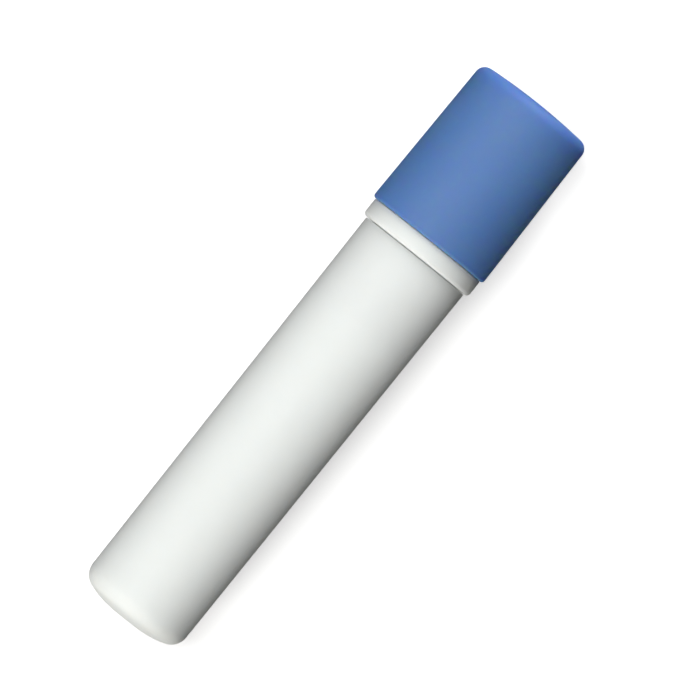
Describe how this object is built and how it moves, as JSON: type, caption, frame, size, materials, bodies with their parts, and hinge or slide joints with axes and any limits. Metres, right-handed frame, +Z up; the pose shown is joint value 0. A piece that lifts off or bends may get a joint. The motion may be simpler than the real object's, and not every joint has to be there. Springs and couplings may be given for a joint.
{
  "type": "periodontal probe",
  "caption": "Short capped periodontal probe: round white barrel with a collar, blue push-on cap, and a spring-loaded graduated ball-ended tip under the cap.",
  "frame": {"origin": "middle of the lying tool's length and width, on the surface it lies on", "axes": "+X along the tool's axis from the barrel's closed end to the cap's top, +Z up; the axis is level, 10.21 mm above the origin, and the tool touches the surface with the cap's rim"},
  "size_m": [0.096, 0.0204, 0.0204],
  "materials": {
    "white_plastic": "satin moulded polypropylene",
    "blue_plastic": "satin moulded polypropylene",
    "natural_plastic": "soft, translucent, uncoloured polyethylene",
    "acetal": "turned, slightly waxy",
    "hub_plastic": "glossy moulded polymer",
    "band_plastic": "glossy",
    "rubber": "matt black nitrile",
    "silicone": "matt, soft",
    "steel": "turned and polished stainless steel",
    "aluminium": "drawn, clear anodised",
    "brass": "turned"
  },
  "bodies": {
    "handle": {"barrel": "white_plastic", "neck_housing": "white_plastic", "barrel_seal_ring": "rubber", "neck_grip_ring": "rubber", "nose_cone": "steel", "front_bush": "acetal", "guide_tube": "aluminium", "front_stop_ring": "steel", "centring_ring": "acetal", "rear_plug": "brass", "end_cushion": "silicone", "wave_washer": "steel", "force_spring": "steel"},
    "cap": {"cap_shell": "blue_plastic", "cap_liner": "natural_plastic"},
    "plunger": {"plunger": "aluminium"},
    "tip": {"tip_hub": "hub_plastic", "force_band": "band_plastic", "probe_tip": "steel"},
    "adjuster": {"calibration_screw": "brass", "thrust_clip": "steel"},
    "seat": {"spring_seat": "brass"}
  },
  "joints": [
    {"name": "cap_pull", "type": "slide", "parent": "handle", "child": "cap", "axis": [1, 0, 0], "range_m": [0, 0.03]},
    {"name": "plunger_travel", "type": "slide", "parent": "handle", "child": "plunger", "axis": [-1, 0, 0], "range_m": [0, 0.002], "stiffness_N_per_m": 63, "springref_m": -0.004, "deforming": ["force_spring"]},
    {"name": "tip_turn", "type": "hinge", "parent": "plunger", "child": "tip", "pos_m": [0.0276, 0, 0.01021], "axis": [1, 0, 0], "range_deg": [0, 45]},
    {"name": "calibration_turn", "type": "hinge", "parent": "handle", "child": "adjuster", "pos_m": [-0.0355, 0, 0.01021], "axis": [-1, 0, 0], "range_deg": [0, 720]},
    {"name": "spring_seat_slide", "type": "slide", "parent": "handle", "child": "seat", "axis": [1, 0, 0], "range_m": [0, 0.0009], "deforming": ["force_spring"]}
  ],
  "couplings": [
    {"joint": "calibration_turn", "follows": "spring_seat_slide", "rad_per_m": 13963}
  ]
}
